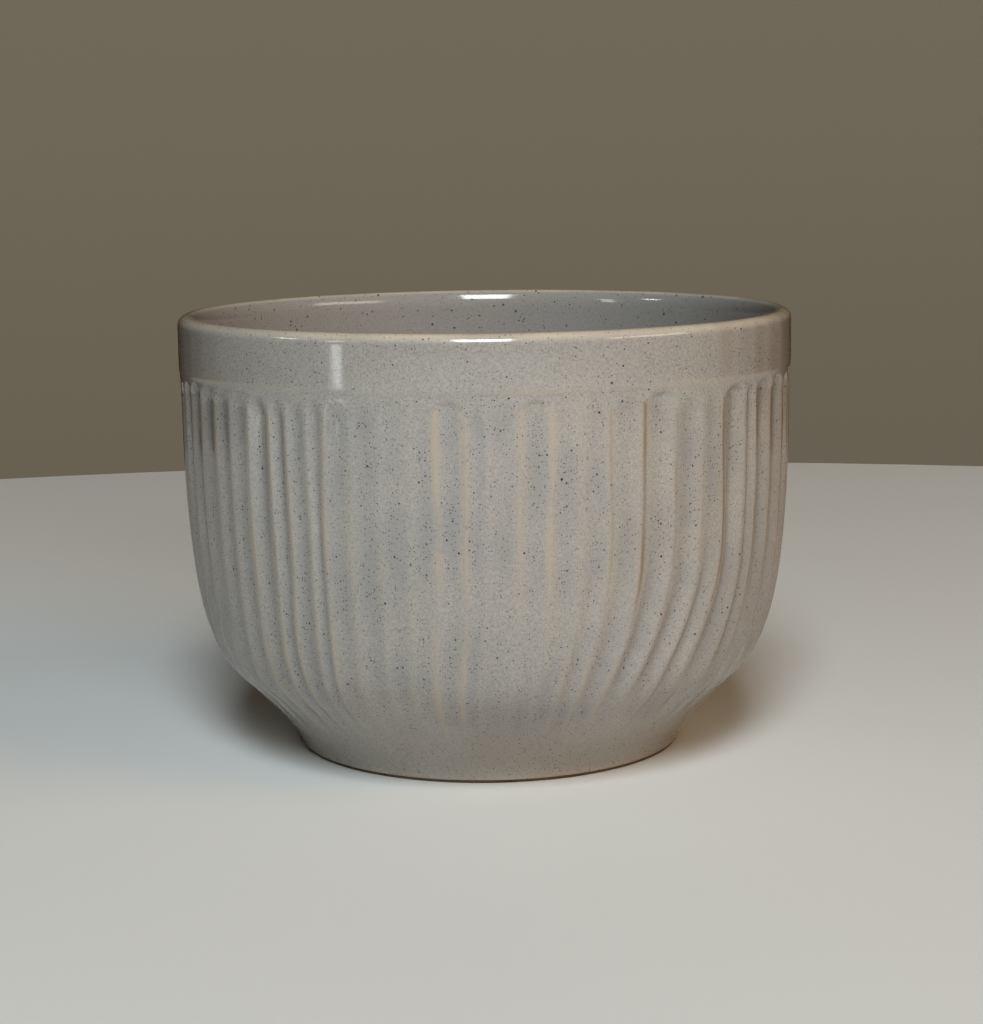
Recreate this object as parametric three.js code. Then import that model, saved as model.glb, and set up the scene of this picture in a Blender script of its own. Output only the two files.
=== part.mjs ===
// A deep stoneware bowl with a fluted side: a clay body that stands on a bare foot ring,
// a glaze coat outside, one inside, and one in the hollow under the base.
// Millimetres, +Z up. The origin is on the table, on the bowl's axis.
// Angles round the bowl are in degrees from its front, on -Y, towards +X.
import * as THREE from "three";

// Overall sizes, over the glaze
const RIM_DIAMETER = 140;
const HEIGHT = 100;
const FOOT_DIAMETER = 89;

// Thicknesses
const WALL = 4.6; // at the rim, both coats included
const FLOOR = 6; // clay under the middle of the bowl
const GLAZE = 0.4; // each coat

// Foot ring
const FOOT_RING_WIDTH = 6;
const FOOT_RECESS = 3; // depth of the hollow inside the ring
const RECESS_FILLET = 1;
const FOOT_EDGE = 0.4; // radius of both edges of the bearing face
const BARE_MARGIN = 0.2; // clay left bare above the foot's outer edge

// Side: a flare from the foot to the haunch, and a belly from there up
const FLARE_REACH = 11; // from the foot out to the haunch
const HAUNCH_HEIGHT = 15;
const HAUNCH_SLOPE = Math.PI / 4; // up from level
const HAUNCH_PULL = 10; // length of the belly curve's lower handle
const BELLY_PULL = 58; // and of its upper handle

// Inside curve
const WALL_PULL = 82; // length of its handle down the wall
const FLOOR_PULL = 57; // and of its handle along the floor

// Plain band between the lip and the flutes
const BAND_HEIGHT = 13.5; // the rounded lip included
const BAND_RELIEF = 0.2; // how far it stands out from the ridges
const BAND_SHOULDER = 2.4; // height of its rounded lower edge

// Flutes: channels between narrow ridges, cut by hand
const FLUTE_COUNT = 64;
const FLUTE_DEPTH = 0.8; // of a channel with a share of 1
const CHANNEL_FLOOR = 0.3; // flat part of a channel, as a share of its width
const FLUTE_SCOOP = 4; // height of a channel's scooped top end
const FLUTE_START = 11; // height at which the channels begin
const FLUTE_FADE = 8; // height over which they deepen
const UPPER_HEIGHT = 62; // from here up a channel has its upper share of the depth
const LOWER_HEIGHT = 38; // and from here down its lower share

// Flutes round the front half: the angle of each one's ridge, and the shares of its channel
const FRONT_FLUTES = [
  { ridge: -90, upper: 0.8, lower: 0.7 },
  { ridge: -84.5, upper: 0.9, lower: 0.7 },
  { ridge: -79, upper: 1.0, lower: 0.7 },
  { ridge: -73.5, upper: 1.1, lower: 0.6 },
  { ridge: -68, upper: 0.9, lower: 0.6 },
  { ridge: -62.5, upper: 0.6, lower: 0.6 },
  { ridge: -56.3, upper: 0.5, lower: 0.5 },
  { ridge: -51, upper: 0.4, lower: 0.5 },
  { ridge: -45.9, upper: 1.1, lower: 0.6 },
  { ridge: -40.5, upper: 1.0, lower: 0.6 },
  { ridge: -36.4, upper: 0.6, lower: 0.5 },
  { ridge: -31.9, upper: 0.55, lower: 0.45 },
  { ridge: -28.7, upper: 0.3, lower: 0.4 },
  { ridge: -23.6, upper: 0.2, lower: 0.35 },
  { ridge: -18, upper: 0.1, lower: 0.3 },
  { ridge: -13.2, upper: 0.2, lower: 0.25 },
  { ridge: -8.5, upper: 0.45, lower: 0.3 },
  { ridge: -3.6, upper: 0.35, lower: 0.25 },
  { ridge: 0, upper: 0.2, lower: 0.2 },
  { ridge: 6, upper: 0.4, lower: 0.25 },
  { ridge: 11, upper: 0.15, lower: 0.4 },
  { ridge: 16.5, upper: 0.2, lower: 0.8 },
  { ridge: 21.5, upper: 0.35, lower: 1.0 },
  { ridge: 28, upper: 0.7, lower: 1.2 },
  { ridge: 34.5, upper: 0.8, lower: 1.3 },
  { ridge: 40.8, upper: 0.4, lower: 1.2 },
  { ridge: 46.2, upper: 1.5, lower: 1.1 },
  { ridge: 52.8, upper: 0.9, lower: 0.9 },
  { ridge: 57, upper: 1.3, lower: 0.8 },
  { ridge: 63.5, upper: 1.3, lower: 0.8 },
  { ridge: 70.5, upper: 1.2, lower: 0.7 },
  { ridge: 76, upper: 1.0, lower: 0.7 },
  { ridge: 81, upper: 0.9, lower: 0.7 },
  { ridge: 85.5, upper: 0.8, lower: 0.7 },
  { ridge: 90, upper: 0.8, lower: 0.7 },
];

// Flutes round the back half
const BACK_SHARE = 0.7; // mean share of the depth
const BACK_SWING = 0.3; // how far the shares swing from it
const BACK_SWAY = 0.15; // how far the ridges sway, as a share of their pitch
const BACK_WAVES = 7; // number of swings

// Lean of the ridges low on the side, in degrees
const LEAN = -1.5;
const DRIFT = -6; // more lean, round one angle
const DRIFT_ANGLE = 38;
const DRIFT_SPREAD = 22;
const LEAN_TOP = 52; // height at which the lean begins
const LEAN_FOOT = 14; // and at which it ends

// Straight steps along each curve of the outline
const FILLET_STEPS = 2;
const FLARE_STEPS = 4;
const BELLY_STEPS = 5;
const SHOULDER_STEPS = 2;
const LIP_STEPS = 3;
const INSIDE_STEPS = 10;

const FULL_TURN = 2 * Math.PI;
const FULL_TURN_DEGREES = 360;
const QUARTER_TURN = FULL_TURN / 4;

// Points across one flute: the place of each, as a share of its width, and whether it is sunk
const RIDGE = { across: 0, sunk: false };
const CHANNEL = [
  { across: (1 - CHANNEL_FLOOR) / 2, sunk: true },
  { across: (1 + CHANNEL_FLOOR) / 2, sunk: true },
];

const { degToRad, lerp, smoothstep } = THREE.MathUtils;
const point = (radius, height) => new THREE.Vector2(radius, height);

/** A quarter circle that turns left along the outline, or right where it is hollow. */
function quarter(centre, radius, startAngle, hollow = false) {
  const endAngle = startAngle + (hollow ? -QUARTER_TURN : QUARTER_TURN);
  return new THREE.EllipseCurve(centre.x, centre.y, radius, radius, startAngle, endAngle, hollow);
}

/** Every flute in order round the bowl, from the left side over the front and round the back. */
function layOutFlutes() {
  const [first, last] = [FRONT_FLUTES[0], FRONT_FLUTES.at(-1)];
  const gaps = FLUTE_COUNT - FRONT_FLUTES.length + 1;
  const pitch = (FULL_TURN_DEGREES + first.ridge - last.ridge) / gaps;
  const back = Array.from({ length: gaps - 1 }, (_, order) => {
    const step = order + 1;
    const swing = Math.sin((FULL_TURN * BACK_WAVES * step) / gaps);
    const share = BACK_SHARE + BACK_SWING * swing;
    return { ridge: last.ridge + pitch * (step + BACK_SWAY * swing), upper: share, lower: share };
  });
  return [...FRONT_FLUTES, ...back];
}

const flutes = layOutFlutes();

/** Angle of a ridge at a height. */
function ridgeAngle(order, height) {
  const { ridge } = flutes[order % flutes.length];
  const offset = (ridge - DRIFT_ANGLE) / DRIFT_SPREAD;
  const leaning = 1 - smoothstep(height, LEAN_FOOT, LEAN_TOP);
  const turned = FULL_TURN_DEGREES * Math.floor(order / flutes.length);
  return ridge + turned + (LEAN + DRIFT * Math.exp(-offset * offset)) * leaning;
}

/** Depth of one channel below its ridges at a height, where it is cut in full. */
function channelDepth({ upper, lower }, height) {
  return FLUTE_DEPTH * lerp(lower, upper, smoothstep(height, LOWER_HEIGHT, UPPER_HEIGHT));
}

/** How far the channels are cut at a height on the side, from 0 at their ends to 1. */
function cutShare(height, fluteTop) {
  const deepened = smoothstep(height, FLUTE_START, FLUTE_START + FLUTE_FADE);
  return deepened * (1 - smoothstep(height, fluteTop - FLUTE_SCOOP, fluteTop));
}

/** Stations along a curve after its first point, each with the clay's outward normal there. */
function along(curve, steps, cutAt = () => 0) {
  return Array.from({ length: steps }, (_, step) => {
    const share = (step + 1) / steps;
    const at = curve.getPoint(share);
    const tangent = curve.getTangent(share);
    return { at, normal: point(tangent.y, -tangent.x), cut: cutAt(at.y) };
  });
}

/**
 * The clay's outline, from the axis under the base, out and up the side, over the lip and
 * down to the axis inside. The clay lies on its left. Neighbouring sections share a station.
 */
function clayOutline() {
  const footRadius = FOOT_DIAMETER / 2 - GLAZE;
  const recessRadius = footRadius - FOOT_RING_WIDTH;
  const bandRadius = RIM_DIAMETER / 2 - GLAZE;
  const ridgeRadius = bandRadius - BAND_RELIEF;
  const lipRadius = WALL / 2 - GLAZE;
  const fluteTop = HEIGHT - BAND_HEIGHT;
  const shoulderTop = fluteTop + BAND_SHOULDER;
  const cutAt = (height) => cutShare(height, fluteTop);

  const baseCentre = { at: point(0, FOOT_RECESS), normal: point(0, -1), cut: 0 };
  const filletCentre = point(recessRadius - RECESS_FILLET, FOOT_RECESS - RECESS_FILLET);
  const recessEdge = point(filletCentre.x, FOOT_RECESS);
  const under = [baseCentre, ...along(new THREE.LineCurve(baseCentre.at, recessEdge), 1)];

  const innerEdge = point(recessRadius + FOOT_EDGE, FOOT_EDGE);
  const outerEdge = point(footRadius - FOOT_EDGE, FOOT_EDGE);
  const glazeLine = point(footRadius, FOOT_EDGE + BARE_MARGIN);
  const foot = [
    under.at(-1),
    ...along(quarter(filletCentre, RECESS_FILLET, QUARTER_TURN, true), FILLET_STEPS),
    ...along(new THREE.LineCurve(point(recessRadius, filletCentre.y), point(recessRadius, FOOT_EDGE)), 1),
    ...along(quarter(innerEdge, FOOT_EDGE, 2 * QUARTER_TURN), FILLET_STEPS),
    ...along(new THREE.LineCurve(point(innerEdge.x, 0), point(outerEdge.x, 0)), 1),
    ...along(quarter(outerEdge, FOOT_EDGE, 3 * QUARTER_TURN), FILLET_STEPS),
    ...along(new THREE.LineCurve(point(footRadius, FOOT_EDGE), glazeLine), 1),
  ];

  const haunch = point(footRadius + FLARE_REACH, HAUNCH_HEIGHT);
  const flareCorner = point(footRadius, haunch.y - FLARE_REACH * Math.tan(HAUNCH_SLOPE));
  const haunchPull = point(Math.cos(HAUNCH_SLOPE), Math.sin(HAUNCH_SLOPE)).multiplyScalar(HAUNCH_PULL);
  const bellyTop = point(ridgeRadius, fluteTop - FLUTE_SCOOP);
  const bellyPull = point(ridgeRadius, bellyTop.y - BELLY_PULL);
  const ridgeTop = point(ridgeRadius, fluteTop);
  const bandBottom = point(bandRadius, shoulderTop);
  const shoulderMiddle = (fluteTop + shoulderTop) / 2;
  const lipCentre = point(bandRadius - lipRadius, HEIGHT - GLAZE - lipRadius);
  const outside = [
    foot.at(-1),
    ...along(new THREE.QuadraticBezierCurve(glazeLine, flareCorner, haunch), FLARE_STEPS, cutAt),
    ...along(
      new THREE.CubicBezierCurve(haunch, haunch.clone().add(haunchPull), bellyPull, bellyTop),
      BELLY_STEPS,
      cutAt,
    ),
    ...along(new THREE.LineCurve(bellyTop, ridgeTop), 1),
    ...along(
      new THREE.CubicBezierCurve(
        ridgeTop,
        point(ridgeRadius, shoulderMiddle),
        point(bandRadius, shoulderMiddle),
        bandBottom,
      ),
      SHOULDER_STEPS,
    ),
    ...along(new THREE.LineCurve(bandBottom, point(bandRadius, lipCentre.y)), 1),
    ...along(quarter(lipCentre, lipRadius, 0), LIP_STEPS),
  ];

  const innerRim = point(lipCentre.x - lipRadius, lipCentre.y);
  const floorCentre = point(0, FOOT_RECESS + FLOOR);
  const inside = [
    outside.at(-1),
    ...along(quarter(lipCentre, lipRadius, QUARTER_TURN), LIP_STEPS),
    ...along(
      new THREE.CubicBezierCurve(
        innerRim,
        point(innerRim.x, innerRim.y - WALL_PULL),
        point(FLOOR_PULL, floorCentre.y),
        floorCentre,
      ),
      INSIDE_STEPS,
    ),
  ];
  return { under, foot, outside, inside };
}

/** The points round one station, lifted off the clay by a distance: one point on the axis. */
function ring({ at, normal, cut }, lift) {
  const radius = at.x + normal.x * lift;
  const height = at.y + normal.y * lift;
  if (at.x === 0) {
    return [new THREE.Vector3(0, 0, height)];
  }
  const section = cut > 0 ? [RIDGE, ...CHANNEL] : [RIDGE];
  return flutes.flatMap((flute, order) => {
    const depth = cut * channelDepth(flute, at.y);
    return section.map(({ across, sunk }) => {
      const angle = degToRad(lerp(ridgeAngle(order, at.y), ridgeAngle(order + 1, at.y), across));
      const reach = sunk ? radius - depth : radius;
      return new THREE.Vector3(reach * Math.sin(angle), -reach * Math.cos(angle), height);
    });
  });
}

/** The triangles of the strip between two rings, across the shorter diagonals. */
function stitch(points, lower, upper) {
  const turn = ({ count }) => (count > 1 ? count : 0);
  const vertex = ({ first, count }, step) => first + (step % count);
  const span = (from, to) => points[from].distanceTo(points[to]);
  const triangles = [];
  let low = 0;
  let high = 0;
  while (low < turn(lower) || high < turn(upper)) {
    const [fromLow, nextLow] = [vertex(lower, low), vertex(lower, low + 1)];
    const [fromHigh, nextHigh] = [vertex(upper, high), vertex(upper, high + 1)];
    const lowIsShorter = span(nextLow, fromHigh) < span(fromLow, nextHigh);
    if (high === turn(upper) || (low < turn(lower) && lowIsShorter)) {
      triangles.push(fromLow, nextLow, fromHigh);
      low += 1;
    } else {
      triangles.push(fromLow, nextHigh, fromHigh);
      high += 1;
    }
  }
  return triangles;
}

/** A closed skin over rings of points, each joined to the next and the last to the first. */
function skin(rings) {
  const points = rings.flat();
  const spans = [];
  for (const { length } of rings) {
    const before = spans.at(-1) ?? { first: 0, count: 0 };
    spans.push({ first: before.first + before.count, count: length });
  }
  const triangles = spans.flatMap((span, order) =>
    stitch(points, span, spans[(order + 1) % spans.length]),
  );
  const geometry = new THREE.BufferGeometry().setFromPoints(points);
  geometry.setIndex(triangles);
  geometry.computeVertexNormals();
  return geometry;
}

/** The clay, inside its whole outline. */
function clayBody({ under, foot, outside, inside }) {
  const stations = [...under, ...foot.slice(1), ...outside.slice(1), ...inside.slice(1)];
  return skin(stations.map((station) => ring(station, 0)));
}

/** A coat of glaze over one section of the clay. */
function glazeCoat(section) {
  const surface = section.map((station) => ring(station, GLAZE));
  const seat = section.map((station) => ring(station, 0));
  return skin([...surface, ...seat.reverse()]);
}

const stoneware = new THREE.MeshStandardMaterial({ color: 0x705841, roughness: 0.85, metalness: 0 });
const greyGlaze = new THREE.MeshStandardMaterial({ color: 0xaaa59c, roughness: 0.25, metalness: 0 });

/** One named piece of the bowl. */
function piece(name, geometry, material) {
  const mesh = new THREE.Mesh(geometry, material);
  mesh.name = name;
  return mesh;
}

const outline = clayOutline();
const bowl = new THREE.Group();
bowl.name = "fluted_bowl";
bowl.add(
  piece("stoneware_body", clayBody(outline), stoneware),
  piece("exterior_glaze", glazeCoat(outline.outside), greyGlaze),
  piece("interior_glaze", glazeCoat(outline.inside), greyGlaze),
  piece("base_glaze", glazeCoat(outline.under), greyGlaze),
);

export default bowl;
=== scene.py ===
"""Dresses the fluted stoneware bowl: its clay body, and its outer, inner and base glaze.

Lengths are in metres and heights are above the table. The bowl stands at the origin with +Z up.
Angles round it start at the front, on -Y, and grow towards +X.
"""

import logging
import math
import random
from collections.abc import Callable, Sequence
from dataclasses import dataclass
from enum import Enum
from functools import reduce

import bmesh
import bpy
from mathutils import Matrix, Vector, noise
from mathutils.geometry import interpolate_bezier


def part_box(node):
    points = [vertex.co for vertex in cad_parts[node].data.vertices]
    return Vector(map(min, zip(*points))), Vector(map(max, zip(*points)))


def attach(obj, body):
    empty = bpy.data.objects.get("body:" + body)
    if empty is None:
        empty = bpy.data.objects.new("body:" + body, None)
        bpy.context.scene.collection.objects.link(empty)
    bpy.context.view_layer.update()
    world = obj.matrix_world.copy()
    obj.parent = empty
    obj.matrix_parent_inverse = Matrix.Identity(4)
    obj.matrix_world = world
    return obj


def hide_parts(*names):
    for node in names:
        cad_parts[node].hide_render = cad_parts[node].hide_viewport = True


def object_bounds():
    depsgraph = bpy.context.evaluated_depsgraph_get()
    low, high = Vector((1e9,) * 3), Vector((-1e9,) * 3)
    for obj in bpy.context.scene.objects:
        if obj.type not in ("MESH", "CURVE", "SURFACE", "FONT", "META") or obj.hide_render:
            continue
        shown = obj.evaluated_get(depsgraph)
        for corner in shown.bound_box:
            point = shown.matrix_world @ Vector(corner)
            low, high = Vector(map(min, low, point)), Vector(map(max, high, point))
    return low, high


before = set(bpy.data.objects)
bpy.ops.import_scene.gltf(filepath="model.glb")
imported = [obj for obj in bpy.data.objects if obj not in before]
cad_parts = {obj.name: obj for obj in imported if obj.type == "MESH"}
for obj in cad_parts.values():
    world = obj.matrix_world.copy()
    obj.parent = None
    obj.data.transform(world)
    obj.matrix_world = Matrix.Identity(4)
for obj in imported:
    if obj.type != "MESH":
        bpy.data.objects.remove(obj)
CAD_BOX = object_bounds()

LOG = logging.getLogger("bowl")
MM = 0.001
FULL_TURN = 2 * math.pi
MERGE_DISTANCE = 1e-6
SECTORS = 32
SHARP_ANGLE = math.radians(50)
# Where a cubic curve's handles lie, from its ends to the corner that it rounds
CORNER_SHARE = 2 / 3

Colour = tuple[float, float, float]
Range = tuple[float, float]
Outline = list[Vector]


class Trait(Enum):
    """What a mesh remembers at each vertex, for its finish to read."""

    CARVED = "carved"
    CREST = "crest"
    # Toasted clay along the ridges, and painted shade on the flutes at the sides
    BURNT_AND_FLANK_SHADE = "burnt"
    POOL = "pool"


class Coat(Enum):
    """The glaze coats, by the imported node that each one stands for."""

    OUTSIDE = "exterior_glaze"
    INSIDE = "interior_glaze"
    BASE = "base_glaze"


class Role(Enum):
    """What a light does: a fill doesn't show in glossy surfaces, and a glint does nothing else."""

    LIGHT = "light"
    FILL = "fill"
    GLINT = "glint"


class Value:
    """A number that varies over a surface; arithmetic on it adds Math nodes."""

    def __init__(self, nodes: "FinishNodes", socket: bpy.types.NodeSocket) -> None:
        """Wraps an output socket of a finish's nodes."""
        self.nodes = nodes
        self.socket = socket

    def _math(self, operation: str, first: "Value | float", second: "Value | float") -> "Value":
        """Adds one Math node."""
        return self.nodes.add("ShaderNodeMath", {"operation": operation}, {0: first, 1: second})

    def __add__(self, other: "Value | float") -> "Value":
        """Gives self + other."""
        return self._math("ADD", self, other)

    def __radd__(self, other: float) -> "Value":
        """Gives other + self."""
        return self._math("ADD", other, self)

    def __sub__(self, other: "Value | float") -> "Value":
        """Gives self - other."""
        return self._math("SUBTRACT", self, other)

    def __rsub__(self, other: float) -> "Value":
        """Gives other - self."""
        return self._math("SUBTRACT", other, self)

    def __mul__(self, other: "Value | float") -> "Value":
        """Gives self * other."""
        return self._math("MULTIPLY", self, other)

    def __rmul__(self, other: float) -> "Value":
        """Gives other * self."""
        return self._math("MULTIPLY", other, self)

    def __truediv__(self, other: "Value | float") -> "Value":
        """Gives self / other."""
        return self._math("DIVIDE", self, other)

    def larger(self, other: "Value | float") -> "Value":
        """Gives the larger of two values."""
        return self._math("MAXIMUM", self, other)

    def eased(self, low: float, high: float) -> "Value":
        """Gives 0 below low and 1 above high, with an eased slope between."""
        limits = {"Value": self, "From Min": low, "From Max": high}
        return self.nodes.add("ShaderNodeMapRange", {"interpolation_type": "SMOOTHSTEP"}, limits)


class FinishNodes:
    """The nodes of one procedural finish."""

    def __init__(self, name: str) -> None:
        """Starts a material with no nodes.

        Args:
            name: The material's name.
        """
        self.material = bpy.data.materials.new(name)
        self.material.use_nodes = True
        self.tree = self.material.node_tree
        self.tree.nodes.clear()

    def add(
        self,
        kind: str,
        settings: dict[str, object] | None = None,
        inputs: dict[str | int, object] | None = None,
        output: str | int = 0,
    ) -> Value:
        """Adds one node.

        Args:
            kind: The node's type.
            settings: The node's own properties, set before its sockets.
            inputs: A value or a link for each socket, by name or place.
            output: The output socket to give back.

        Returns:
            The chosen output.
        """
        node = self.tree.nodes.new(kind)
        for name, setting in (settings or {}).items():
            setattr(node, name, setting)
        for key, term in (inputs or {}).items():
            if isinstance(term, Value):
                self.tree.links.new(term.socket, node.inputs[key])
            else:
                node.inputs[key].default_value = term
        return Value(self, node.outputs[output])

    def place(self) -> Value:
        """Gives the point on the piece."""
        return self.add("ShaderNodeTexCoord", output="Object")

    def height(self) -> Value:
        """Gives the height of the point above the table."""
        return self.add("ShaderNodeSeparateXYZ", inputs={0: self.place()}, output="Z")

    def trait(self, trait: Trait) -> Value:
        """Gives a value that the mesh remembers, or 0 where it has none."""
        return self.add("ShaderNodeAttribute", {"attribute_name": trait.value}, output="Fac")

    def clouds(self, size: float, detail: float, output: str = "Fac") -> Value:
        """Gives soft noise with features of about the given size."""
        inputs = {"Vector": self.place(), "Scale": 1 / size, "Detail": detail}
        return self.add("ShaderNodeTexNoise", inputs=inputs, output=output)

    def cells(self, where: Value, spacing: float, output: str) -> Value:
        """Gives one output of a pattern of cells, a mean distance apart."""
        inputs = {"Vector": where, "Scale": 1 / spacing}
        return self.add("ShaderNodeTexVoronoi", inputs=inputs, output=output)

    def mix(self, share: Value | float, start: Value | Colour, end: Value | Colour) -> Value:
        """Blends two colours.

        Args:
            share: How much of the end colour shows.
            start: The colour at 0.
            end: The colour at 1.

        Returns:
            The blended colour.
        """
        colours = [term if isinstance(term, Value) else (*term, 1.0) for term in (start, end)]
        inputs = {0: share, 6: colours[0], 7: colours[1]}
        return self.add("ShaderNodeMix", {"data_type": "RGBA"}, inputs, output=2)

    def bump(self, height: Value, depth: float) -> Value:
        """Gives the normal of a surface raised by a height from 0 to 1 times a depth."""
        return self.add("ShaderNodeBump", inputs={"Height": height, "Distance": depth}, output="Normal")

    def surface(self, inputs: dict[str, object]) -> bpy.types.Material:
        """Ends the finish with one shader.

        Args:
            inputs: The shader's values and links, by socket name.

        Returns:
            The finished material.
        """
        shader = self.add("ShaderNodeBsdfPrincipled", inputs=inputs)
        output = self.tree.nodes.new("ShaderNodeOutputMaterial")
        self.tree.links.new(shader.socket, output.inputs["Surface"])
        return self.material


@dataclass(frozen=True)
class Share:
    """How much of a tone shows: a base amount, and a gain where a pattern is strong."""

    base: float
    gain: float

    def of(self, pattern: Value) -> Value:
        """Gives the share for a pattern from 0 to 1."""
        return self.base + self.gain * pattern


@dataclass(frozen=True)
class Specks:
    """One size of iron speck in the glaze.

    Attributes:
        spacing: The mean distance between specks of this size.
        radius: The radius of the largest of them.
        strength: How dark they are.
    """

    spacing: float
    radius: float
    strength: float


@dataclass(frozen=True)
class SpeckledGlaze:
    """A glossy grey glaze, warm where it breaks thin on edges, cool and speckled where it pools."""

    name: str = "speckled_grey_glaze"
    # Tones, and how much of each shows
    body: Colour = (0.452, 0.433, 0.406)
    clouded: Colour = (0.352, 0.347, 0.333)
    pooled: Colour = (0.325, 0.325, 0.33)
    pooled_share: Share = Share(base=0.25, gain=0.45)
    broken: Colour = (0.465, 0.415, 0.345)
    broken_share: Share = Share(base=0.05, gain=0.8)
    # Toasted clay along the ridges; also painted shade on the flutes at the sides and on the band above
    # them
    burnt: Colour = (0.21, 0.145, 0.095)
    burnt_and_flank_shade_share: Share = Share(base=0.5, gain=0.3)
    # Painted shade: the glaze turns darker and warmer towards the foot
    foot: Colour = (0.335, 0.288, 0.238)
    foot_shade_share: Share = Share(base=0.3, gain=0.25)
    foot_shade_full: float = 8 * MM
    foot_shade_end: float = 30 * MM
    # The cream break of thin glaze on the lip, made lighter as painted light on the lip's top
    rim_cream_and_light: Colour = (0.64, 0.59, 0.5)
    rim_cream_and_light_share: Share = Share(base=0.5, gain=0.5)
    rim_start: float = 97.8 * MM
    rim_full: float = 99.8 * MM
    # Iron specks, which are larger and denser in pools and smaller on crests
    speck: Colour = (0.036, 0.033, 0.033)
    specks: tuple[Specks, ...] = (
        Specks(spacing=2.6 * MM, radius=0.33 * MM, strength=0.95),
        Specks(spacing=1.1 * MM, radius=0.26 * MM, strength=0.8),
        Specks(spacing=0.55 * MM, radius=0.185 * MM, strength=0.7),
    )
    speck_wander: float = 0.2 * MM
    speck_edge: Range = (0.55, 1.1)
    least_reach: float = 1e-6
    crowding: Share = Share(base=0.68, gain=0.27)
    pool_crowding: float = 0.15
    crest_thinning: float = 0.4
    # Patterns and gloss
    cloud_size: float = 0.45 * MM
    cloud_range: Range = (0.3, 0.7)
    streak_size: float = 14 * MM
    streak_range: Range = (0.35, 0.6)
    drift_size: float = 16 * MM
    drift_range: Range = (0.3, 0.7)
    pattern_detail: float = 3.0
    wander_detail: float = 2.0
    ripple_size: float = 7 * MM
    ripple_depth: float = 0.03 * MM
    ripple_detail: float = 1.0
    gloss: Share = Share(base=0.08, gain=0.06)
    index: float = 1.58

    def _speck_cover(self, nodes: FinishNodes, crowding: Value) -> Value:
        """Gives how much speck covers the surface, for all sizes of speck.

        Args:
            nodes: The finish's nodes.
            crowding: How large and dense the specks are.

        Returns:
            The cover, from 0 to 1.
        """
        wander = nodes.clouds(self.speck_wander * 2, self.wander_detail, output="Color")
        scaled = {0: wander, "Scale": self.speck_wander}
        shift = nodes.add("ShaderNodeVectorMath", {"operation": "SCALE"}, scaled)
        where = nodes.add("ShaderNodeVectorMath", {"operation": "ADD"}, {0: nodes.place(), 1: shift})
        layers = []
        for size in self.specks:
            distance = nodes.cells(where, size.spacing, "Distance")
            chance = nodes.cells(where, size.spacing, "Color")
            share = nodes.add("ShaderNodeSeparateColor", inputs={0: chance}, output="Red")
            reach = (share * crowding) * (size.radius / size.spacing)
            edge = (distance / reach.larger(self.least_reach)).eased(*self.speck_edge)
            layers.append((1 - edge) * size.strength)
        return reduce(Value.larger, layers)

    def material(self) -> bpy.types.Material:
        """Makes the glaze's material.

        Returns:
            The glaze, which reads the traits of the mesh that it lies on.
        """
        nodes = FinishNodes(self.name)
        crest = nodes.trait(Trait.CREST)
        burnt = nodes.trait(Trait.BURNT_AND_FLANK_SHADE)
        pool = nodes.trait(Trait.POOL)
        cloud = nodes.clouds(self.cloud_size, self.pattern_detail).eased(*self.cloud_range)
        drift = nodes.clouds(self.drift_size, self.pattern_detail).eased(*self.drift_range)
        streak = nodes.clouds(self.streak_size, self.pattern_detail).eased(*self.streak_range)
        # Painted shade towards the foot: 1 low on the side, easing to 0 higher up
        low = 1 - nodes.height().eased(self.foot_shade_full, self.foot_shade_end)
        # Cream break and painted light on the lip's top: 1 at the crest, easing to 0 below
        rim_cream_and_light = nodes.height().eased(self.rim_start, self.rim_full)
        colour = nodes.mix(cloud, self.clouded, self.body)
        colour = nodes.mix(self.pooled_share.of(pool) * drift, colour, self.pooled)
        colour = nodes.mix(crest * self.broken_share.of(streak), colour, self.broken)
        # Toasted ridge lines, and painted shade at the sides
        colour = nodes.mix(burnt * self.burnt_and_flank_shade_share.of(streak), colour, self.burnt)
        # Paints the shade towards the foot
        colour = nodes.mix(low * self.foot_shade_share.of(drift), colour, self.foot)
        colour = nodes.mix(rim_cream_and_light * self.rim_cream_and_light_share.of(drift), colour, self.rim_cream_and_light)
        crowding = self.crowding.of(drift) + self.pool_crowding * pool - self.crest_thinning * crest
        colour = nodes.mix(self._speck_cover(nodes, crowding), colour, self.speck)
        ripple = nodes.clouds(self.ripple_size, self.ripple_detail)
        return nodes.surface(
            {
                "Base Color": colour,
                "Roughness": self.gloss.of(drift),
                "IOR": self.index,
                "Normal": nodes.bump(ripple, self.ripple_depth),
            }
        )


# The inside is a little darker and cooler than the outside, which is painted shade inside the bowl; it
# has larger specks and a narrower cream rim
SHADED_INNER_GLAZE = SpeckledGlaze(
    name="speckled_inner_glaze_painted_shade",
    body=(0.4, 0.392, 0.378),
    clouded=(0.35, 0.347, 0.342),
    rim_start=99.1 * MM,
    rim_full=100 * MM,
    specks=(
        Specks(spacing=2.7 * MM, radius=0.55 * MM, strength=0.8),
        Specks(spacing=1.3 * MM, radius=0.38 * MM, strength=0.75),
        Specks(spacing=0.7 * MM, radius=0.2 * MM, strength=0.6),
    ),
)


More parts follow.
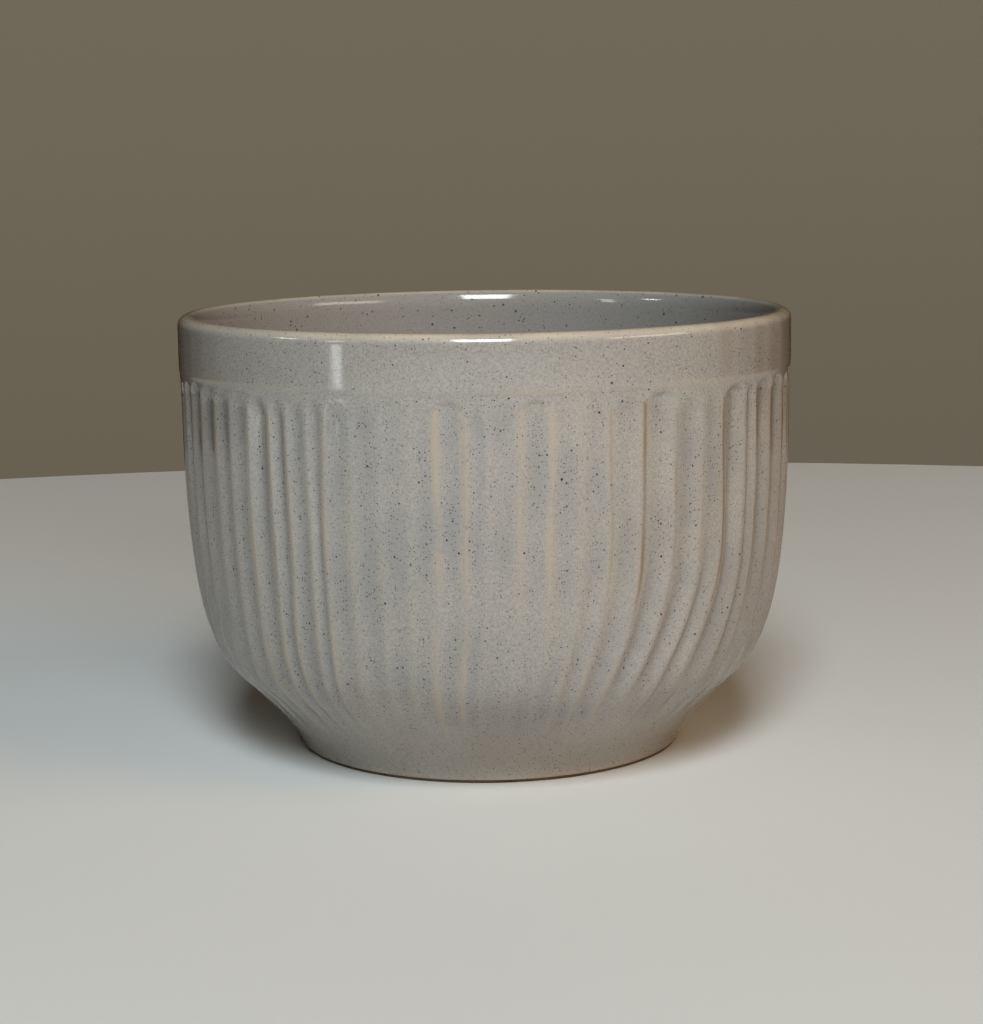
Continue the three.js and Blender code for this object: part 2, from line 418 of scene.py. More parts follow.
@dataclass(frozen=True)
class BareClay:
    """Unglazed fired clay: a toasted buff with fine grit and dark grains, darkened in part as painted
    shade where the foot meets the table.
    """

    name: str = "bare_toasted_clay"
    # A dark iron-bearing clay, made darker still as painted shade of the contact shadow at the foot
    buff: Colour = (0.2, 0.14, 0.09)
    toasted: Colour = (0.115, 0.075, 0.045)
    grain: Colour = (0.04, 0.03, 0.025)
    toast_size: float = 9 * MM
    toast_detail: float = 4.0
    toast_weight: float = 0.6
    toast_range: Range = (0.3, 0.7)
    grit_size: float = 0.35 * MM
    grit_detail: float = 3.0
    grit_weight: float = 0.4
    grit_depth: float = 0.05 * MM
    grain_spacing: float = 1.4 * MM
    grain_edge: Range = (0.11, 0.22)
    roughness: Share = Share(base=0.72, gain=0.2)

    def material(self) -> bpy.types.Material:
        """Makes the clay's material.

        Returns:
            The clay.
        """
        nodes = FinishNodes(self.name)
        toast = nodes.clouds(self.toast_size, self.toast_detail)
        grit = nodes.clouds(self.grit_size, self.grit_detail)
        patches = (toast * self.toast_weight + grit * self.grit_weight).eased(*self.toast_range)
        colour = nodes.mix(patches, self.toasted, self.buff)
        grain = 1 - nodes.cells(nodes.place(), self.grain_spacing, "Distance").eased(*self.grain_edge)
        colour = nodes.mix(grain, colour, self.grain)
        return nodes.surface(
            {
                "Base Color": colour,
                "Roughness": self.roughness.of(grit),
                "Normal": nodes.bump(grit, self.grit_depth),
            }
        )


@dataclass(frozen=True)
class PlainPaint:
    """A plain matt studio surface."""

    name: str
    colour: Colour
    roughness: float = 0.9

    def material(self) -> bpy.types.Material:
        """Makes the surface's material."""
        inputs = {"Base Color": (*self.colour, 1.0), "Roughness": self.roughness}
        return FinishNodes(self.name).surface(inputs)


def eased(value: float, low: float, high: float) -> float:
    """Gives 0 below low and 1 above high, with an eased slope between."""
    share = min(max((value - low) / (high - low), 0.0), 1.0)
    return share * share * (3 - 2 * share)


def domed(share: float) -> float:
    """Gives the height of a quarter circle from its edge, 0, to its crown, 1."""
    share = min(max(share, 0.0), 1.0)
    return math.sqrt(1 - (1 - share) ** 2)


def line(start: Vector, end: Vector, steps: int) -> Outline:
    """Gives points along a straight line, after its start."""
    return [start.lerp(end, step / steps) for step in range(1, steps + 1)]


def curve(start: Vector, first: Vector, second: Vector, end: Vector, steps: int) -> Outline:
    """Gives points along a cubic curve, after its start."""
    return [*interpolate_bezier(start, first, second, end, steps + 1)[1:-1], end]


@dataclass(frozen=True)
class Ellipse:
    """The ellipse that a rounded edge follows.

    Attributes:
        centre: Its middle.
        across: Its half width.
        up: Its half height.
    """

    centre: Vector
    across: float
    up: float

    def at(self, angle: float) -> Vector:
        """Gives the point at an angle in degrees from the outward radius."""
        turn = math.radians(angle)
        return self.centre + Vector((self.across * math.cos(turn), self.up * math.sin(turn)))

    def arc(self, start: float, turn: float, steps: int) -> Outline:
        """Gives points along an arc, after its start.

        Args:
            start: The angle at which the arc starts, in degrees.
            turn: The angle that it turns through, in degrees.
            steps: The number of points.

        Returns:
            The points, the last one at the end of the turn.
        """
        return [self.at(start + turn * step / steps) for step in range(1, steps + 1)]


def lifted(outline: Outline, lift: Callable[[int], float]) -> Outline:
    """Moves an outline off the clay, which lies on its left.

    Args:
        outline: Points from the axis outwards and up, or down the inside.
        lift: The distance for each point, by its place in the outline.

    Returns:
        The moved points; one on the axis stays on it.
    """
    moved = []
    for place, point in enumerate(outline):
        before = outline[max(place - 1, 0)]
        after = outline[min(place + 1, len(outline) - 1)]
        tangent = (after - before).normalized()
        target = point + Vector((tangent.y, -tangent.x)) * lift(place)
        moved.append(Vector((0.0, target.y)) if point.x == 0 else target)
    return moved


def thinned(outline: Outline, every: int) -> Outline:
    """Keeps the first point, the last one, and every few between."""
    return outline[:-1:every] + outline[-1:]


@dataclass(frozen=True)
class Flute:
    """One flute and the ridge on its left.

    Attributes:
        angle: Where the ridge stands round the bowl, in degrees from the front.
        upper: How deep the flute is high on the side, as a share of the full depth.
        lower: How deep it is low on the side.
        thin: How far the glaze breaks on the ridge, from 0 to 1.
        burnt: How much toasted clay shows along the ridge, from 0 to 1.
        scoop: How long the flute's top end is, as a share of the usual length.
        low_thin: How much of the broken glaze is left low on the ridge, from 0 to 1.
        toast: How much painted shade darkens and browns the glaze round the ridge and on the band above
            it, from 0 to 1.
    """

    angle: float
    upper: float
    lower: float
    thin: float = 0.3
    burnt: float = 0.0
    scoop: float = 1.0
    low_thin: float = 1.0
    toast: float = 0.0


# The toast of the flutes at the sides is painted shade, strongest near 90 degrees either way
FRONT_FLUTES = (
    Flute(-90, 0.8, 0.7, burnt=0.5, toast=0.4),
    Flute(-84.5, 0.9, 0.7, burnt=0.5, scoop=0.6, toast=0.4),
    Flute(-79, 1.0, 0.7, burnt=0.5, scoop=0.6, toast=0.3),
    Flute(-73.5, 1.1, 0.6, burnt=0.4, scoop=0.6, toast=0.25),
    Flute(-68, 0.9, 0.6, burnt=0.3, scoop=0.6, toast=0.2),
    Flute(-62.5, 0.6, 0.6, toast=0.15),
    Flute(-56.3, 0.5, 0.5, 0.5, 0.2, toast=0.1),
    Flute(-51, 0.4, 0.5),
    Flute(-45.9, 1.1, 0.6, 0.8, 0.25),
    Flute(-40.5, 1.0, 0.6, 0.8, 0.4),
    Flute(-36.4, 0.6, 0.5, 0.7, 0.25),
    Flute(-31.9, 0.55, 0.45, 0.4),
    Flute(-28.7, 0.3, 0.4, 0.7, 0.3),
    Flute(-23.6, 0.2, 0.35, 0.3),
    Flute(-18, 0.1, 0.3, 0.1),
    Flute(-13.2, 0.2, 0.25, 0.1),
    Flute(-8.5, 0.45, 0.3, 1.0, scoop=0.3),
    Flute(-3.6, 0.35, 0.25, 0.9, 0.15),
    Flute(0, 0.2, 0.2, 0.1),
    Flute(6, 0.4, 0.25, 0.6, scoop=0.3, low_thin=0.2),
    Flute(11, 0.15, 0.4, 0.9, low_thin=0.2),
    Flute(16.5, 0.2, 0.8, 0.3),
    Flute(21.5, 0.35, 1.0, 0.5, 0.3),
    Flute(28, 0.7, 1.2, 0.6, 1.0, scoop=0.3),
    Flute(34.5, 0.8, 1.3, 0.2, 0.4),
    Flute(40.8, 0.4, 1.2, 0.2, 0.2),
    Flute(46.2, 1.5, 1.1, 0.3, 1.0, scoop=0.5, toast=0.2),
    Flute(52.8, 0.9, 0.9, 0.2, 0.4, scoop=0.5, toast=0.15),
    Flute(57, 1.3, 0.8, 0.3, 1.0, scoop=0.5, toast=0.35),
    Flute(63.5, 1.3, 0.8, 0.3, 1.0, scoop=0.5, toast=0.35),
    Flute(70.5, 1.2, 0.7, 0.3, 0.9, scoop=0.6, toast=0.4),
    Flute(76, 1.0, 0.7, 0.3, 0.5, scoop=0.6, toast=0.45),
    Flute(81, 0.9, 0.7, burnt=0.6, toast=0.5),
    Flute(85.5, 0.8, 0.7, burnt=0.6, toast=0.5),
    Flute(90, 0.8, 0.7, burnt=0.5, toast=0.4),
)


@dataclass
class Fluting:
    """The hand-cut flutes: channels of uneven depth and lean between narrow ridges."""

    count: int = 64
    columns: int = 12
    seed: int = 7
    # Section of a channel, and its depth along the side
    depth: float = 0.85 * MM
    ridge_round: float = 0.5
    ridge_drop: float = 0.2 * MM
    upper_height: float = 62 * MM
    lower_height: float = 38 * MM
    uneven_depth: float = 0.4
    uneven_size: float = 18 * MM
    depth_stride: float = 2.3
    depth_slice: float = 0.5
    # Scooped top ends and faded lower ends
    top: float = 87.3 * MM
    scoop: float = 4.4 * MM
    arch: float = 1.4 * MM
    start: float = 10.5 * MM
    fade: float = 8 * MM
    uneven_top: float = 0.6 * MM
    uneven_scoop: float = 0.4
    uneven_start: float = 3 * MM
    # Cream and toasted lines along the ridges, the ledge, and painted shade on the band above them
    crest_sharpness: int = 8
    burnt_sharpness: int = 60
    burnt_foot: float = 32 * MM
    burnt_top: float = 52 * MM
    ledge: float = 88 * MM
    ledge_width: float = 0.6 * MM
    ledge_thin: float = 0.5
    band_start: float = 87 * MM
    band_full: float = 90 * MM
    # The flutes behind, which swing in depth and sway in place
    back_depth: float = 0.7
    back_swing: float = 0.3
    back_sway: float = 0.15
    back_waves: int = 7
    back_thin: Range = (0.1, 0.9)
    back_burnt: Range = (-0.8, 0.9)
    # Lean towards the foot, more of it round one angle, and wobble, in degrees
    lean: float = -1.5
    drift: float = -6.0
    drift_angle: float = 38.0
    drift_spread: float = 22.0
    lean_top: float = 52 * MM
    lean_foot: float = 14 * MM
    wobble: float = 0.6
    wobble_size: float = 22 * MM
    wobble_stride: float = 1.7

    def __post_init__(self) -> None:
        """Lays out the flutes all round and draws each one's own ends."""
        rng = random.Random(self.seed)
        self.flutes = list(FRONT_FLUTES)
        gaps = self.count - len(FRONT_FLUTES) + 1
        pitch = (360 + FRONT_FLUTES[0].angle - FRONT_FLUTES[-1].angle) / gaps
        for step in range(1, gaps):
            swing = math.sin(FULL_TURN * self.back_waves * step / gaps)
            angle = FRONT_FLUTES[-1].angle + pitch * (step + self.back_sway * swing)
            depth = self.back_depth + self.back_swing * swing
            thin = rng.uniform(*self.back_thin)
            burnt = max(0.0, rng.uniform(*self.back_burnt))
            self.flutes.append(Flute(angle, depth, depth, thin, burnt))
        self.drops = [self.ridge_drop * rng.random() for _ in self.flutes]
        self.tops = [self.top + rng.uniform(-1, 1) * self.uneven_top for _ in self.flutes]
        spreads = [1 + rng.uniform(-1, 1) * self.uneven_scoop for _ in self.flutes]
        self.scoops = [self.scoop * flute.scoop * spread for flute, spread in zip(self.flutes, spreads)]
        self.starts = [self.start + rng.uniform(-1, 1) * self.uneven_start for _ in self.flutes]

    def _up_the_side(self, height: float, lower: float, upper: float) -> float:
        """Gives a value that eases from a lower one to an upper one up the side."""
        return lower + (upper - lower) * eased(height, self.lower_height, self.upper_height)

    def _depth(self, order: int, height: float) -> float:
        """Gives how deep a flute is cut in mid-channel, before its ends.

        Args:
            order: The flute's place round the bowl.
            height: The height above the table.

        Returns:
            The depth below the ridges.
        """
        flute = self.flutes[order]
        share = self._up_the_side(height, flute.lower, flute.upper)
        place = (order * self.depth_stride, height / self.uneven_size, self.seed + self.depth_slice)
        return self.depth * share * (1 + self.uneven_depth * noise.noise(Vector(place)))

    def ridge_angle(self, order: int, height: float) -> float:
        """Gives where a ridge stands, in degrees, as the cutting tool leaned and wobbled.

        Args:
            order: The ridge's place round the bowl; one past the last is the first again.
            height: The height above the table.

        Returns:
            The angle from the front.
        """
        turns, place = divmod(order, self.count)
        angle = self.flutes[place].angle
        offset = (angle - self.drift_angle + 180) % 360 - 180
        drift = self.drift * math.exp(-((offset / self.drift_spread) ** 2))
        leaning = 1 - eased(height, self.lean_foot, self.lean_top)
        wander = noise.noise(Vector((place * self.wobble_stride, height / self.wobble_size, self.seed)))
        return angle + turns * 360 + (self.lean + drift) * leaning + self.wobble * wander

    def cut(self, order: int, across: float, height: float) -> tuple[float, dict[Trait, float]]:
        """Gives the cut at a point of one flute.

        Args:
            order: The flute's place round the bowl.
            across: The share of the way from its first ridge to its second.
            height: The height above the table.

        Returns:
            How deep the cut is, and what the mesh remembers there.
        """
        bow = math.sin(math.pi * across)
        rounded = math.hypot(bow, self.ridge_round) - self.ridge_round
        hollow = rounded / (math.hypot(1, self.ridge_round) - self.ridge_round)
        crown = self.tops[order] - self.arch * (2 * across - 1) ** 2
        ends = 1 - eased(height, crown - self.scoops[order], crown)
        ends *= eased(height, self.starts[order], self.starts[order] + self.fade)
        following = (order + 1) % self.count
        drop = self.drops[order] * (1 - across) + self.drops[following] * across
        nearest = self.flutes[order if across < 0.5 else following]
        traits = self._ridge_lines(nearest, abs(math.cos(math.pi * across)), ends, height)
        traits[Trait.POOL] = hollow * ends
        return (self._depth(order, height) * hollow + drop) * ends, traits

    def _ridge_lines(
        self, ridge: Flute, closeness: float, ends: float, height: float
    ) -> dict[Trait, float]:
        """Gives where the glaze breaks, where toasted clay shows, and where painted shade browns the
        sides.

        Args:
            ridge: The flute whose ridge is nearest.
            closeness: How close that ridge is, from 0 in mid-channel to 1.
            ends: How far the flute is cut here between its ends, from 0 to 1.
            height: The height above the table.

        Returns:
            The traits of the lines along the ridge and the ledge, and of the painted shade on the band.
        """
        ledge = self.ledge_thin * math.exp(-(((height - self.ledge) / self.ledge_width) ** 2))
        thin = ridge.thin * self._up_the_side(height, ridge.low_thin, 1) * ends
        burnt = ridge.burnt * ends * eased(height, self.burnt_foot, self.burnt_top)
        # Painted shade: the toast darkens and browns the flutes at the sides and the band above them
        toast = ridge.toast * max(ends, eased(height, self.band_start, self.band_full))
        return {
            Trait.CREST: max(closeness**self.crest_sharpness * thin, ledge),
            Trait.BURNT_AND_FLANK_SHADE: max(closeness**self.burnt_sharpness * burnt, closeness * toast),
        }

    def carve(self, mesh: bmesh.types.BMesh) -> None:
        """Lines up a turned mesh with the ridges, cuts its carved part and notes its traits.

        Args:
            mesh: A mesh turned in columns, with the carved trait on its vertices.
        """
        layers = {trait: mesh.verts.layers.float[trait.value] for trait in Trait}
        columns = self.count * self.columns
        for vert in mesh.verts:
            column = round(math.atan2(vert.co.x, -vert.co.y) / FULL_TURN * columns) % columns
            flute, step = divmod(column, self.columns)
            across = step / self.columns
            height = vert.co.z
            first = self.ridge_angle(flute, height)
            angle = math.radians(first + across * (self.ridge_angle(flute + 1, height) - first))
            reach = vert.co.xy.length
            if vert[layers[Trait.CARVED]]:
                depth, traits = self.cut(flute, across, height)
                reach -= depth
                for trait, amount in traits.items():
                    vert[layers[trait]] = amount
            vert.co = (reach * math.sin(angle), -reach * math.cos(angle), height)


@dataclass
class BowlForm:
    """The clay's outline in sections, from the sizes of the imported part."""

    foot_radius: float = 44.1 * MM
    foot_ring: float = 6 * MM
    foot_edge: float = 0.4 * MM
    recess_fillet: float = 1 * MM
    flare_reach: float = 11 * MM
    haunch_height: float = 15 * MM
    haunch_pull: float = 10 * MM
    belly_pull: float = 58 * MM
    flute_top: float = 86.5 * MM
    scoop_zone: float = 5 * MM
    band_relief: float = 0.2 * MM
    band_shoulder: float = 2.4 * MM
    lip_inside: float = 4.2 * MM
    wall_pull: float = 78 * MM
    floor_pull: float = 57 * MM
    turning_line: float = 6.8 * MM
    turning_width: float = 0.9 * MM
    turning_depth: float = 0.1 * MM
    # Angle from the lip's crest to the points beside it, in degrees
    crest_gap: float = 2.0
    # Number of points along each section
    base_steps: int = 12
    edge_steps: int = 4
    ring_steps: int = 2
    roll_steps: int = 4
    flare_steps: int = 16
    belly_steps: int = 26
    scoop_steps: int = 14
    shoulder_steps: int = 7
    band_steps: int = 5
    lip_steps: int = 8
    inner_lip_steps: int = 9
    wall_steps: int = 40

    def __post_init__(self) -> None:
        """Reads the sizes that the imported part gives."""
        outer_low, outer_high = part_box(Coat.OUTSIDE.value)
        inner_low, inner_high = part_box(Coat.INSIDE.value)
        base_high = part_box(Coat.BASE.value)[1]
        clay_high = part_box("stoneware_body")[1]
        self.glaze = outer_high.x - clay_high.x
        self.rim_radius = clay_high.x
        self.top = clay_high.z
        self.glaze_line = outer_low.z
        self.crest_radius = inner_high.x
        self.floor = inner_low.z
        self.recess = base_high.z
        self.base_radius = base_high.x

    @property
    def lip_outside(self) -> float:
        """The half width of the lip outside its crest."""
        return self.rim_radius - self.crest_radius

    def under(self) -> Outline:
        """Gives the glazed middle of the base, from the axis to the edge of the recess."""
        middle = Vector((0, self.recess))
        return [middle, *line(middle, Vector((self.base_radius, self.recess)), self.base_steps)]

    def foot(self) -> Outline:
        """Gives the bare foot ring, from the edge of the recess to the glaze line.

        Returns:
            The outline, from the recess's fillet down, under and up.
        """
        wall = self.foot_radius - self.foot_ring
        corner = Vector((wall - self.recess_fillet, self.recess - self.recess_fillet))
        inner = Vector((wall + self.foot_edge, self.foot_edge))
        outer = Vector((self.foot_radius - self.foot_edge, self.foot_edge))
        return [
            *Ellipse(corner, self.recess_fillet, self.recess_fillet).arc(90, -90, self.edge_steps),
            Vector((wall, self.foot_edge)),
            *Ellipse(inner, self.foot_edge, self.foot_edge).arc(180, 90, self.edge_steps),
            *line(Vector((inner.x, 0)), Vector((outer.x, 0)), self.ring_steps),
            *Ellipse(outer, self.foot_edge, self.foot_edge).arc(270, 90, self.edge_steps),
            Vector((self.foot_radius, self.glaze_line)),
        ]

    def outside(self) -> Outline:
        """Gives the outside, from the glaze line over the flare, belly and band to the lip's crest.

        Returns:
            The outline before the flutes are cut.
        """
        ridge_radius = self.rim_radius - self.band_relief
        glaze_line = Vector((self.foot_radius, self.glaze_line))
        glaze_full = Vector((self.foot_radius, self.glaze_line + self.glaze))
        haunch = Vector((self.foot_radius + self.flare_reach, self.haunch_height))
        corner = Vector((self.foot_radius, self.haunch_height - self.flare_reach))
        low_pull = Vector((1, 1)).normalized() * self.haunch_pull
        high_pull = Vector((0, -self.belly_pull))
        belly_top = Vector((ridge_radius, self.flute_top - self.scoop_zone))
        ridge_top = Vector((ridge_radius, self.flute_top))
        shoulder = Vector((self.rim_radius, self.flute_top + self.band_shoulder))
        middle = (ridge_top.y + shoulder.y) / 2
        below, above = Vector((ridge_top.x, middle)), Vector((shoulder.x, middle))
        lip_centre = Vector((self.crest_radius, self.top - self.lip_outside))
        lip = Ellipse(lip_centre, self.lip_outside, self.lip_outside)
        low_flare, high_flare = (end.lerp(corner, CORNER_SHARE) for end in (glaze_full, haunch))
        outline = [
            glaze_line,
            *line(glaze_line, glaze_full, self.roll_steps),
            *curve(glaze_full, low_flare, high_flare, haunch, self.flare_steps),
            *curve(haunch, haunch + low_pull, belly_top + high_pull, belly_top, self.belly_steps),
            *line(belly_top, ridge_top, self.scoop_steps),
            *curve(ridge_top, below, above, shoulder, self.shoulder_steps),
            *line(shoulder, Vector((self.rim_radius, lip_centre.y)), self.band_steps),
            *lip.arc(0, 90 - self.crest_gap, self.lip_steps),
            Vector((self.crest_radius, self.top)),
        ]
        return [self._with_turning_line(point) for point in outline]

    def _with_turning_line(self, point: Vector) -> Vector:
        """Gives a point of the outside with the faint turning line round the foot."""
        offset = (point.y - self.turning_line) / self.turning_width
        return point + Vector((self.turning_depth * math.exp(-offset * offset), 0))

    def inside(self) -> Outline:
        """Gives the inside, from the lip's crest down the wall to the middle of the floor.

        Returns:
            The outline, which ends on the axis.
        """
        lip_centre = Vector((self.crest_radius, self.top - self.lip_inside))
        lip = Ellipse(lip_centre, self.lip_outside, self.lip_inside)
        lip_start = 90 + self.crest_gap
        wall = Vector((self.crest_radius - self.lip_outside, lip_centre.y))
        floor = Vector((0, self.floor))
        wall_end = wall - Vector((0, self.wall_pull))
        floor_end = Vector((self.floor_pull, floor.y))
        return [
            Vector((self.crest_radius, self.top)),
            lip.at(lip_start),
            *lip.arc(lip_start, 180 - lip_start, self.inner_lip_steps),
            *curve(wall, wall_end, floor_end, floor, self.wall_steps),
        ]


def turned(
    outline: Outline, carved: Sequence[bool], columns: int, closed: bool
) -> bmesh.types.BMesh:
    """Turns an outline round the bowl's axis: one sector first, then the others as copies of it.

    Args:
        outline: Points as radius and height.
        carved: Whether each point is on the fluted side.
        columns: The number of steps round, a multiple of the number of sectors.
        closed: Whether the last point joins the first.

    Returns:
        The turned mesh, with its faces pointing out and a layer for each trait.
    """
    mesh = bmesh.new()
    for trait in Trait:
        mesh.verts.layers.float.new(trait.value)
    layer = mesh.verts.layers.float[Trait.CARVED.value]
    verts = [mesh.verts.new((0, -point.x, point.y)) for point in outline]
    for vert, cut in zip(verts, carved):
        vert[layer] = float(cut)
    ends = verts[1:] + verts[:1] if closed else verts[1:]
    edges = [mesh.edges.new(pair) for pair in zip(verts, ends)]
    axis = {"cent": (0, 0, 0), "axis": (0, 0, 1)}
    angle, steps = FULL_TURN / SECTORS, columns // SECTORS
    bmesh.ops.spin(mesh, geom=verts + edges, angle=angle, steps=steps, **axis)
    sector = [*mesh.verts, *mesh.edges, *mesh.faces]
    angle, steps = FULL_TURN - angle, SECTORS - 1
    bmesh.ops.spin(mesh, geom=sector, angle=angle, steps=steps, use_duplicate=True, **axis)
    bmesh.ops.remove_doubles(mesh, verts=mesh.verts, dist=MERGE_DISTANCE)
    bmesh.ops.recalc_face_normals(mesh, faces=mesh.faces)
    return mesh


def finished(mesh: bmesh.types.BMesh, name: str, material: bpy.types.Material) -> bpy.types.Object:
    """Makes a smooth piece from a mesh and gives it its finish.

    Args:
        mesh: The modelled mesh, which is used up.
        name: The piece's name.
        material: The piece's finish.

    Returns:
        The piece, which moves with the bowl.
    """
    for edge in mesh.edges:
        edge.smooth = edge.calc_face_angle(0.0) < SHARP_ANGLE
    for face in mesh.faces:
        face.smooth = True
    data = bpy.data.meshes.new(name)
    mesh.to_mesh(data)
    mesh.free()
    data.materials.append(material)
    piece = bpy.data.objects.new(name, data)
    bpy.context.scene.collection.objects.link(piece)
    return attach(piece, "root")


@dataclass
class GlazeCoats:
    """The three coats of glaze, each a thin shell that lies on the clay."""

    form: BowlForm
    fluting: Fluting
    outer_finish: SpeckledGlaze
    inner_finish: SpeckledGlaze
    seat_step: int = 3
    inside_columns: int = 384
    base_columns: int = 128

    def build(self) -> list[bpy.types.Object]:
        """Models and dresses the coats.

        Returns:
            The outside, the inside and the base.
        """
        outer = self.outer_finish.material()
        inner = self.inner_finish.material()
        coats = {
            Coat.OUTSIDE: ("outer_glaze", outer, self._outside()),
            Coat.INSIDE: ("inner_glaze", inner, self._plain(self.form.inside(), self.inside_columns)),
            Coat.BASE: ("under_glaze", outer, self._plain(self.form.under(), self.base_columns)),
        }
        pieces = []
        for coat, (name, material, mesh) in coats.items():
            piece = finished(mesh, name, material)
            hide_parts(coat.value)
            pieces.append(piece)
        return pieces

    def _outside(self) -> bmesh.types.BMesh:
        """Models the fluted coat, whose lower edge is rolled.

        Returns:
            The coat's mesh.
        """
        clay = self.form.outside()
        start = clay[0].y

        def roll(place: int) -> float:
            """Gives the coat's thickness, rounded off at the glaze line."""
            return self.form.glaze * domed((clay[place].y - start) / self.form.glaze)

        surface = lifted(clay, roll)[1:]
        seat = thinned(clay, self.seat_step)[::-1]
        loop = surface + seat
        mesh = turned(loop, [True] * len(loop), self.fluting.count * self.fluting.columns, closed=True)
        self.fluting.carve(mesh)
        return mesh

    def _plain(self, clay: Outline, columns: int) -> bmesh.types.BMesh:
        """Models a coat with no flutes over a section of the clay that meets the axis.

        Args:
            clay: The section's outline.
            columns: The number of steps round.

        Returns:
            The coat's mesh.
        """
        surface = lifted(clay, lambda place: self.form.glaze)
        seat = thinned(clay, self.seat_step)
        loop = surface[::-1] + seat if clay[-1].x == 0 else surface + seat[::-1]
        return turned(loop, [False] * len(loop), columns, closed=False)


@dataclass
class ClayBody:
    """The clay under the glaze, which shows at the foot ring."""

    form: BowlForm
    fluting: Fluting
    finish: BareClay
    seat_step: int = 3

    def build(self) -> bpy.types.Object:
        """Models and dresses the clay.

        Returns:
            The clay body.
        """
        outside = thinned(self.form.outside(), self.seat_step)[1:]
        inside = thinned(self.form.inside(), self.seat_step)[1:]
        plain_start = self.form.under() + self.form.foot()
        outline = plain_start + outside + inside
        carved = [False] * len(plain_start) + [True] * len(outside) + [False] * len(inside)
        mesh = turned(outline, carved, self.fluting.count * self.fluting.columns, closed=False)
        self.fluting.carve(mesh)
        piece = finished(mesh, "clay_body", self.finish.material())
        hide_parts("stoneware_body")
        return piece


@dataclass(frozen=True)
class SoftLight:
    """One soft light that faces the bowl.

    Attributes:
        name: What it is.
        angle: Where it stands round the bowl, in degrees from the front.
        rise: How far it stands above level, in degrees.
        distance: How far it is from the bowl.
        width: Its width.
        height: Its height.
        power: Its power in watts.
        colour: Its colour.
        role: Whether it lights surfaces, shows in glossy ones, or both.
    """

    name: str
    angle: float
    rise: float
    distance: float
    width: float
    height: float
    power: float
    colour: Colour
    role: Role = Role.LIGHT

    def place(self, target: Vector) -> bpy.types.Object:
        """Puts the light in the scene.

        Args:
            target: The point that it faces.

        Returns:
            The light.
        """
        data = bpy.data.lights.new(self.name, "AREA")
        data.shape = "RECTANGLE"
        data.size = self.width
        data.size_y = self.height
        data.energy = self.power
        data.color = self.colour
        light = bpy.data.objects.new(self.name, data)
        angle, rise = math.radians(self.angle), math.radians(self.rise)
        level = math.cos(rise)
        direction = Vector((math.sin(angle) * level, -math.cos(angle) * level, math.sin(rise)))
        light.location = target + direction * self.distance
        light.rotation_euler = (-direction).to_track_quat("-Z", "Y").to_euler()
        light.visible_camera = False
        light.visible_glossy = self.role is not Role.FILL
        light.visible_diffuse = self.role is not Role.GLINT
        bpy.context.scene.collection.objects.link(light)
        return light


@dataclass(frozen=True)
class PhotoCamera:
    """The camera at the photograph's viewing angle.

    Attributes:
        distance: How far it stands in front of the bowl's axis.
        height: Its height above the table.
        aside: How far it stands to the right of the axis.
        pitch: How far it looks down, in degrees.
        roll: How far it is turned clockwise, in degrees.
        focal: Its focal length in pixels of the photograph.
        frame_side: The photograph's longer side in pixels.
    """

    distance: float = 0.525
    height: float = 0.1378
    aside: float = 0.00105
    pitch: float = 9.21
    roll: float = 0.76
    focal: float = 2280.8
    frame_side: int = 1024

    def place(self) -> bpy.types.Object:
        """Puts the camera in the scene and makes it the one in use.

        Returns:
            The camera.
        """
        data = bpy.data.cameras.new("photo_camera")
        data.lens = self.focal / self.frame_side * data.sensor_width
        camera = bpy.data.objects.new("photo_camera", data)
        camera.matrix_world = (
            Matrix.Translation((self.aside, -self.distance, self.height))
            @ Matrix.Rotation(math.radians(90 - self.pitch), 4, "X")
            @ Matrix.Rotation(math.radians(-self.roll), 4, "Z")
        )
        bpy.context.scene.collection.objects.link(camera)
        bpy.context.scene.camera = camera
        return camera


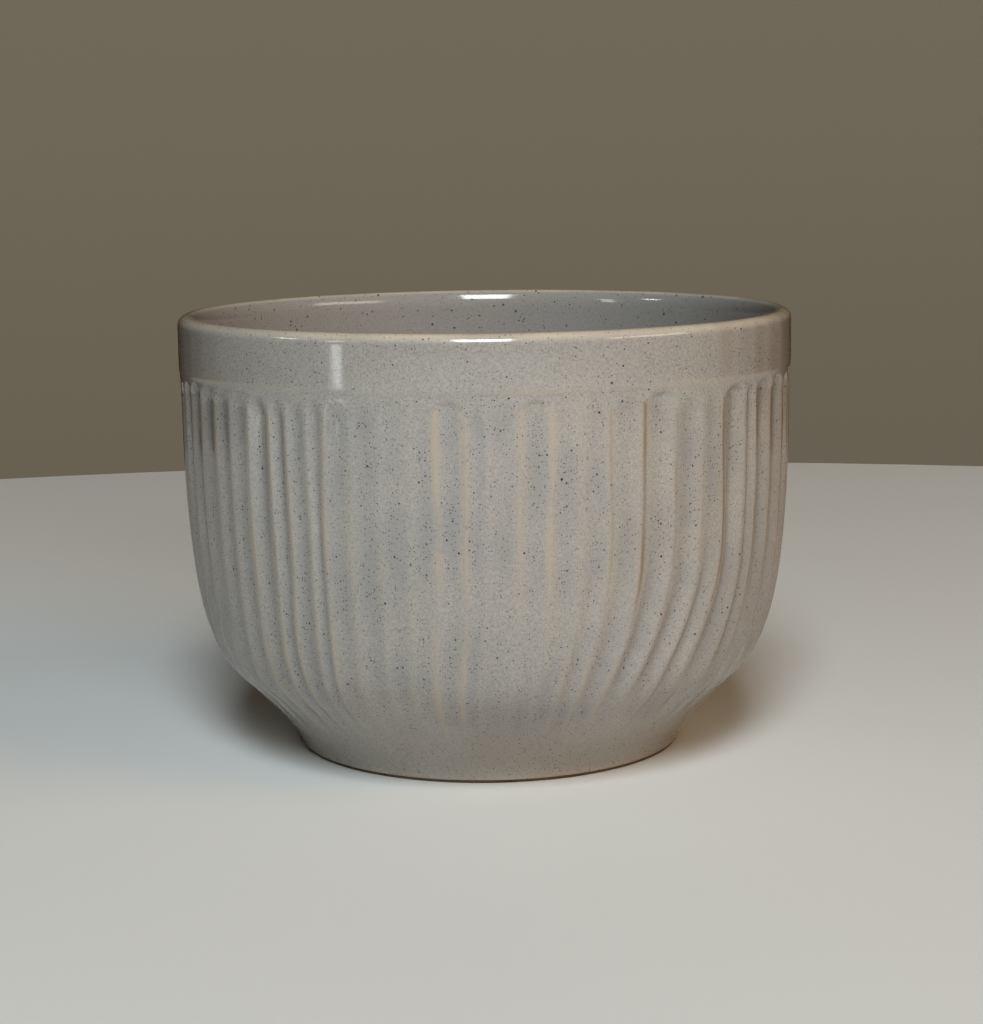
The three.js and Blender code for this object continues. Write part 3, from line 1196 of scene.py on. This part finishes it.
@dataclass
class Studio:
    """A pale round table, a plain wall all round it, soft lights and the camera."""

    table: PlainPaint = PlainPaint("pale_table", (0.8, 0.83, 0.84))
    wall: PlainPaint = PlainPaint("taupe_wall", (0.54, 0.52, 0.45))
    table_radius: float = 0.75
    table_back: float = 0.458
    wall_radius: float = 1.5
    wall_height: float = 4.0
    sides: int = 128
    ambient: Colour = (0.42, 0.26, 0.11)
    ambient_strength: float = 0.08
    lights: tuple[SoftLight, ...] = (
        SoftLight("window", -1.0, 46, 2.0, 0.6, 0.92, 18.3, (0.9, 0.972, 1.0)),
        SoftLight("low_front", 13.0, 17, 2.2, 1.03, 0.59, 10.4, (1.0, 0.98, 0.95), Role.FILL),
        SoftLight("warm_fill", 64.0, 30, 2.0, 1.0, 0.5, 5.8, (1.0, 0.52, 0.14), Role.FILL),
        SoftLight("back_fill", 180.0, 8, 2.0, 1.6, 0.5, 5.5, (1.0, 0.96, 0.9), Role.FILL),
        SoftLight("right_glint", 66.0, 30, 2.0, 1.1, 0.36, 3.2, (1.0, 0.9, 0.72), Role.GLINT),
        SoftLight("left_glint", -82.0, 30, 2.0, 0.27, 0.12, 1.1, (1.0, 0.97, 0.85), Role.GLINT),
        SoftLight("left_patch", -57.0, 24, 2.0, 0.2, 0.4, 0.8, (0.97, 1.0, 0.95), Role.GLINT),
        SoftLight("left_strip", -50.0, 2.5, 0.42, 0.022, 0.073, 0.018, (0.95, 0.98, 1.0)),
    )

    def build(self) -> None:
        """Sets the stage, the lights and the camera."""
        self._table()
        self._wall()
        for light in self.lights:
            light.place(Vector((0, 0, CAD_BOX[1].z / 2)))
        PhotoCamera().place()
        self._ambient()
        bpy.context.scene.view_settings.view_transform = "Standard"
        bpy.context.scene.view_settings.look = "High Contrast"

    def _table(self) -> bpy.types.Object:
        """Makes the table top, a flat disc.

        Returns:
            The table.
        """
        mesh = bmesh.new()
        middle = Matrix.Translation((0, self.table_back - self.table_radius, 0))
        size = {"segments": self.sides, "radius": self.table_radius}
        bmesh.ops.create_circle(mesh, cap_ends=True, matrix=middle, **size)
        return self._set("table", mesh, self.table)

    def _wall(self) -> bpy.types.Object:
        """Makes the wall, an open drum that is seen but neither lights the bowl nor shades it.

        Returns:
            The wall.
        """
        mesh = bmesh.new()
        size = {"radius1": self.wall_radius, "radius2": self.wall_radius, "depth": self.wall_height}
        bmesh.ops.create_cone(mesh, segments=self.sides, **size)
        bmesh.ops.reverse_faces(mesh, faces=mesh.faces)
        for face in mesh.faces:
            face.smooth = True
        wall = self._set("wall", mesh, self.wall)
        wall.visible_diffuse = False
        wall.visible_glossy = False
        wall.visible_shadow = False
        return wall

    def _set(self, name: str, mesh: bmesh.types.BMesh, paint: PlainPaint) -> bpy.types.Object:
        """Makes one piece of the stage.

        Args:
            name: The piece's name.
            mesh: Its mesh, which is used up.
            paint: Its finish.

        Returns:
            The piece.
        """
        data = bpy.data.meshes.new(name)
        mesh.to_mesh(data)
        mesh.free()
        data.materials.append(paint.material())
        piece = bpy.data.objects.new(name, data)
        bpy.context.scene.collection.objects.link(piece)
        return piece

    def _ambient(self) -> None:
        """Fills the room with even light."""
        world = bpy.data.worlds.new("room")
        world.use_nodes = True
        background = world.node_tree.nodes["Background"]
        background.inputs["Color"].default_value = (*self.ambient, 1.0)
        background.inputs["Strength"].default_value = self.ambient_strength
        bpy.context.scene.world = world


def main() -> None:
    """Builds the bowl's pieces in order, then the studio."""
    logging.basicConfig(level=logging.INFO, format="%(message)s")
    form = BowlForm()
    fluting = Fluting()
    pieces = [
        ClayBody(form, fluting, BareClay()).build(),
        *GlazeCoats(form, fluting, SpeckledGlaze(), SHADED_INNER_GLAZE).build(),
    ]
    for piece in pieces:
        LOG.info("%s: %d faces", piece.name, len(piece.data.polygons))
    Studio().build()


if __name__ == "__main__":
    main()
